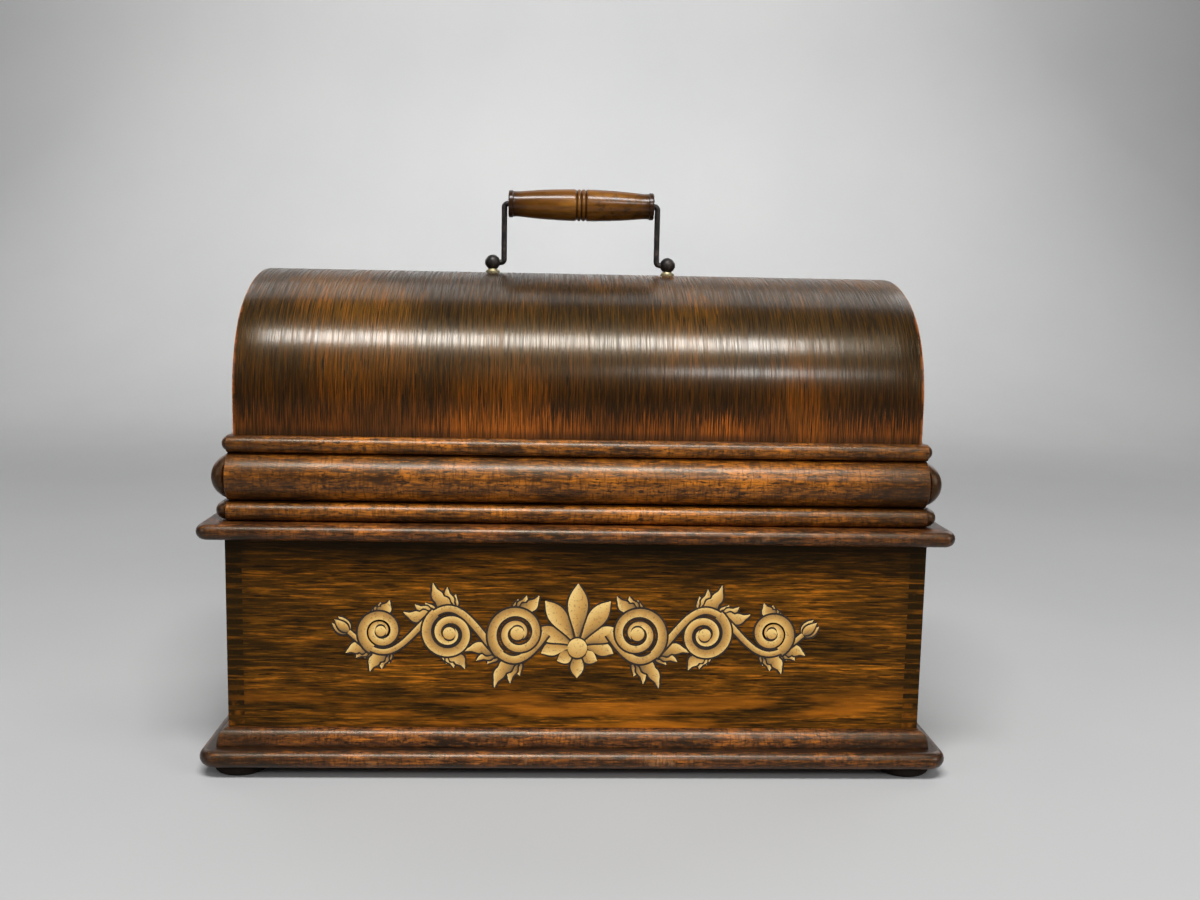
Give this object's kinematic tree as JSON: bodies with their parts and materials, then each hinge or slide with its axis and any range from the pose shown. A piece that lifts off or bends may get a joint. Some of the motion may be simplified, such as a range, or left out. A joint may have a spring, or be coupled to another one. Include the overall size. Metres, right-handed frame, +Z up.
{
  "type": "cylinder phonograph",
  "caption": "Spring-driven cylinder phonograph in a closed oak case: lift-off domed lid with bail handle, comb-jointed box, mandrel, carriage, reproducer and geared motor inside.",
  "frame": {"origin": "on the ground under the middle of the case, level with the undersides of the feet", "axes": "+X along the case to the viewer's right, -Y to the front, +Z up"},
  "size_m": [0.423, 0.233, 0.3356],
  "materials": {
    "oak_panel": "golden quarter oak under old shellac",
    "oak_dome": "bent oak veneer, glossy dark shellac",
    "oak_moulding": "turned and run oak mouldings, orange brown shellac",
    "oak_dark": "reddish dark brown oak, worn on the edges",
    "oak_plain": "plain inner oak, oiled",
    "grip_wood": "turned honey wood, polished by hand",
    "foot_paint": "black stained wood",
    "wire_iron": "blackened iron wire",
    "japanned_iron": "black japan with thin gold lines",
    "nickel": "old nickel plate",
    "steel": "turned bright steel",
    "brass": "turned and cut brass",
    "belt_leather": "oiled belt leather"
  },
  "bodies": {
    "case": {"long_panels": "oak_panel", "end_panels": "oak_panel", "bottom_board": "oak_plain", "plinth_long_mouldings": "oak_dark", "plinth_end_mouldings": "oak_dark", "rim_long_boards": "oak_dark", "rim_end_boards": "oak_dark", "feet": "foot_paint", "bed_rails": "oak_plain", "crank_escutcheon": "brass", "bedplate": "japanned_iron", "bearing_caps": "japanned_iron", "bed_screws": "steel", "back_rod": "nickel", "straight_edge": "nickel", "drive_belt": "belt_leather", "end_gate_pin": "steel", "motor_plates": "japanned_iron", "motor_pillars": "steel", "motor_hangers": "japanned_iron", "speed_lever": "steel"},
    "lid": {"lid_dome": "oak_dome", "lid_ends": "oak_dome", "lid_rails": "oak_plain", "lid_long_mouldings": "oak_moulding", "lid_end_mouldings": "oak_moulding", "handle_posts": "wire_iron", "handle_collars": "brass"},
    "handle": {"handle_bail": "wire_iron", "handle_grip": "grip_wood"},
    "mandrel": {"mandrel_shaft": "steel", "mandrel": "nickel", "mandrel_pulley": "japanned_iron"},
    "pulley_shaft": {"pulley_shaft": "steel", "third_wheel": "brass", "motor_pulley": "japanned_iron"},
    "first_arbor": {"first_arbor": "steel", "second_wheel": "brass"},
    "spring_barrel": {"spring_barrel": "brass", "barrel_cover": "brass", "mainspring": "steel"},
    "governor": {"governor": "brass"},
    "winding_shaft": {"winding_shaft": "steel"},
    "barrel_arbor": {"barrel_arbor": "steel", "winding_gear": "brass", "ratchet_wheel": "steel"},
    "ratchet_pawl": {"ratchet_pawl": "steel"},
    "carriage_bush": {"carriage_bush": "brass"},
    "carriage": {"carriage_arm": "nickel", "nut_spring": "steel", "half_nut": "brass", "reproducer_body": "brass", "diaphragm": "steel", "clamp_screw": "brass"},
    "reproducer_weight": {"reproducer_weight": "brass", "stylus_bar": "steel"},
    "lift_lever": {"lift_lever": "nickel"},
    "end_gate": {"end_gate": "nickel"},
    "start_stop_lever": {"start_stop_lever": "nickel"},
    "speed_screw": {"speed_screw": "brass"}
  },
  "joints": [
    {"name": "lid_lift", "type": "slide", "parent": "case", "child": "lid", "axis": [0, 0, 1], "range_m": [0, 0.25]},
    {"name": "handle_swing", "type": "hinge", "parent": "lid", "child": "handle", "pos_m": [0, 0, 0.2899], "axis": [1, 0, 0], "range_deg": [-85, 85]},
    {"name": "mandrel_spin", "type": "hinge", "parent": "case", "child": "mandrel", "pos_m": [0, -0.015, 0.185], "axis": [1, 0, 0], "continuous": true},
    {"name": "pulley_spin", "type": "hinge", "parent": "case", "child": "pulley_shaft", "pos_m": [0, -0.02698, 0.09335], "axis": [1, 0, 0], "continuous": true},
    {"name": "first_arbor_spin", "type": "hinge", "parent": "case", "child": "first_arbor", "pos_m": [0, -0.0083, 0.06458], "axis": [1, 0, 0], "continuous": true},
    {"name": "barrel_spin", "type": "hinge", "parent": "case", "child": "spring_barrel", "pos_m": [0, 0.038, 0.074], "axis": [1, 0, 0], "continuous": true},
    {"name": "governor_spin", "type": "hinge", "parent": "case", "child": "governor", "pos_m": [0, -0.04711, 0.07818], "axis": [1, 0, 0], "continuous": true},
    {"name": "barrel_arbor_spin", "type": "hinge", "parent": "case", "child": "barrel_arbor", "pos_m": [0, 0.038, 0.074], "axis": [1, 0, 0], "continuous": true},
    {"name": "winding_spin", "type": "hinge", "parent": "case", "child": "winding_shaft", "pos_m": [0, 0.00805, 0.05143], "axis": [1, 0, 0], "continuous": true},
    {"name": "pawl_lift", "type": "hinge", "parent": "case", "child": "ratchet_pawl", "pos_m": [0.023, 0.05921, 0.09721], "axis": [-1, 0, 0], "range_deg": [0, 12]},
    {"name": "carriage_slide", "type": "slide", "parent": "case", "child": "carriage_bush", "axis": [1, 0, 0], "range_m": [0, 0.084]},
    {"name": "carriage_lift", "type": "hinge", "parent": "carriage_bush", "child": "carriage", "pos_m": [0, 0.045, 0.175], "axis": [-1, 0, 0], "range_deg": [0, 12]},
    {"name": "weight_swing", "type": "hinge", "parent": "carriage", "child": "reproducer_weight", "pos_m": [0.025, 0.0011, 0.2164], "axis": [1, 0, 0], "range_deg": [-2.5, 0]},
    {"name": "lift_lever_turn", "type": "hinge", "parent": "carriage", "child": "lift_lever", "pos_m": [0.025, -0.063, 0.2105], "axis": [1, 0, 0], "range_deg": [0, 50]},
    {"name": "gate_swing", "type": "hinge", "parent": "case", "child": "end_gate", "pos_m": [0.131, 0.022, 0.18], "axis": [0, 0, 1], "range_deg": [0, 90]},
    {"name": "start_stop_turn", "type": "hinge", "parent": "case", "child": "start_stop_lever", "pos_m": [-0.165, -0.055, 0.143], "axis": [0, 0, 1], "range_deg": [0, 15]},
    {"name": "speed_turn", "type": "hinge", "parent": "case", "child": "speed_screw", "pos_m": [-0.028, -0.05111, 0.141], "axis": [0, 0, 1], "range_deg": [-180, 180]}
  ],
  "couplings": [
    {"joint": "pulley_spin", "follows": "mandrel_spin", "ratio": 1.2},
    {"joint": "first_arbor_spin", "follows": "mandrel_spin", "ratio": -0.2},
    {"joint": "barrel_spin", "follows": "mandrel_spin", "ratio": 0.033333},
    {"joint": "governor_spin", "follows": "mandrel_spin", "ratio": -6},
    {"joint": "winding_spin", "follows": "barrel_arbor_spin", "ratio": -2}
  ]
}
